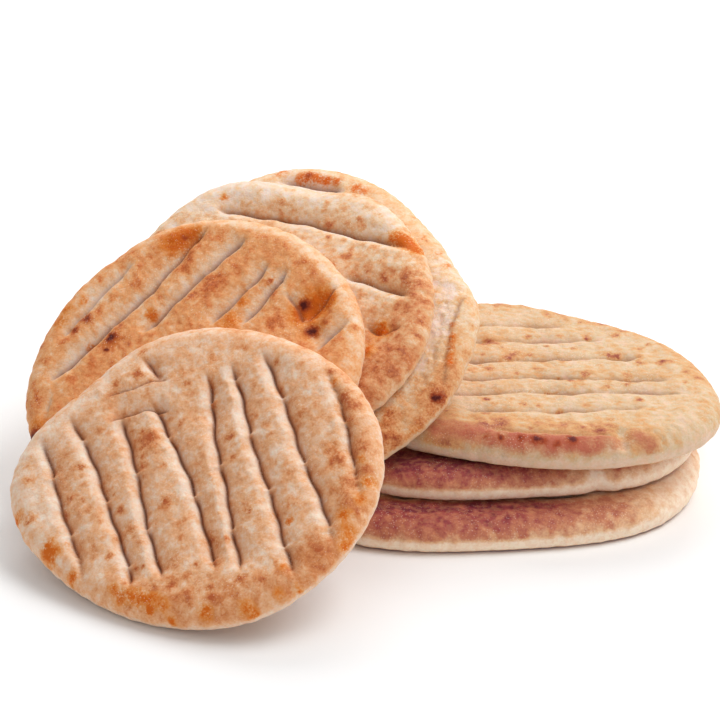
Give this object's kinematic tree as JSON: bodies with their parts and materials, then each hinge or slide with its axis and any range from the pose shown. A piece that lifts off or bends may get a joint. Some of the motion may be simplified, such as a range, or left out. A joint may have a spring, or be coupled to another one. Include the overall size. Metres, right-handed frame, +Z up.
{
  "type": "stack of grooved pita breads",
  "caption": "Pile of thick, soft, grooved flatbreads: some lie level on each other and the others lean over them in a fan, each slid down from the one beneath it.",
  "frame": {"origin": "middle of the pile's box, on the surface that the pile stands on", "axes": "+Z up; +X to the right along the pile's longest side, seen from the front; +Y away from the front, towards the level stack"},
  "size_m": [0.2949, 0.2561, 0.1066],
  "materials": {
    "crust": "matt baked crust, cream with golden and brown toasting"
  },
  "bodies": {
    "root": {"pita_stack_bottom": "crust", "pita_stack_middle": "crust", "pita_stack_top": "crust", "pita_fan_back": "crust", "pita_fan_third": "crust", "pita_fan_second": "crust", "pita_fan_front": "crust"}
  },
  "joints": []
}
